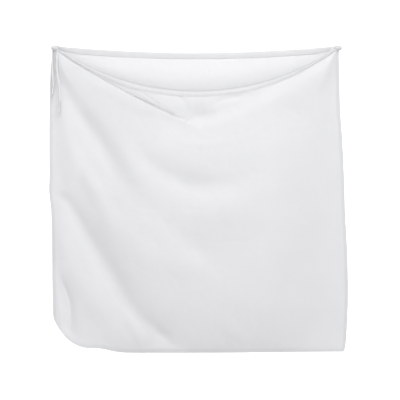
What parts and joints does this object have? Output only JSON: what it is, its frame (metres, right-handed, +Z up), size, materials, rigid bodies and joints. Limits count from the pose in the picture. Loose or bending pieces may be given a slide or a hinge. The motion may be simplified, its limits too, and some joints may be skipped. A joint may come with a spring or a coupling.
{
  "type": "mesh laundry bag",
  "caption": "Flat square white mesh laundry bag hung open by its top corners, with hem casings, a sagging front mouth and a drawstring with knotted tails.",
  "frame": {"origin": "the left hanging corner, where the two hems meet", "axes": "+X from the left hanging corner to the right one, -Y towards the front, +Z up"},
  "size_m": [0.597, 0.0628, 0.614],
  "materials": {
    "mesh_cloth": "fine white polyester mesh",
    "hem_cloth": "doubled white mesh",
    "sewing_thread": "white polyester thread",
    "drawstring": "soft white braided cord"
  },
  "bodies": {
    "bag": {"back_panel": "mesh_cloth", "front_panel": "mesh_cloth", "back_casing": "hem_cloth", "left_casing_end": "hem_cloth", "right_casing_end": "hem_cloth", "left_side_seam": "hem_cloth", "right_side_seam": "hem_cloth", "bottom_seam": "hem_cloth", "left_side_overlock": "sewing_thread", "right_side_overlock": "sewing_thread", "bottom_overlock": "sewing_thread", "back_hem_stitching": "sewing_thread", "left_bartack": "sewing_thread", "right_bartack": "sewing_thread", "drawstring_back_run": "drawstring"},
    "front_rim": {"front_casing": "hem_cloth", "front_hem_stitching": "sewing_thread", "drawstring_front_run": "drawstring"},
    "left_tail": {"left_tail_cord": "drawstring"},
    "right_tail": {"right_tail_cord": "drawstring"},
    "left_tail_tip": {"left_tail_knot": "drawstring", "left_tail_end": "drawstring"},
    "right_tail_tip": {"right_tail_knot": "drawstring", "right_tail_end": "drawstring"}
  },
  "joints": [
    {"name": "mouth_opening", "type": "hinge", "parent": "bag", "child": "front_rim", "pos_m": [0.285, 0, 0], "axis": [-1, 0, 0], "range_deg": [0, 60]},
    {"name": "left_tail_swing", "type": "hinge", "parent": "bag", "child": "left_tail", "pos_m": [-0.0034, -0.0065, -0.0083], "axis": [-1, 0, 0], "range_deg": [0, 60]},
    {"name": "right_tail_swing", "type": "hinge", "parent": "bag", "child": "right_tail", "pos_m": [0.0065, -0.009, -0.0083], "axis": [-1, 0, 0], "range_deg": [0, 60]},
    {"name": "left_tail_draw", "type": "slide", "parent": "left_tail", "child": "left_tail_tip", "axis": [0, 0, -1], "range_m": [-0.055, 0.07], "deforming": ["left_tail_cord"]},
    {"name": "right_tail_draw", "type": "slide", "parent": "right_tail", "child": "right_tail_tip", "axis": [0, 0, -1], "range_m": [-0.07, 0.055], "deforming": ["right_tail_cord"]}
  ],
  "couplings": [
    {"joint": "left_tail_draw", "follows": "right_tail_draw", "ratio": -1}
  ]
}
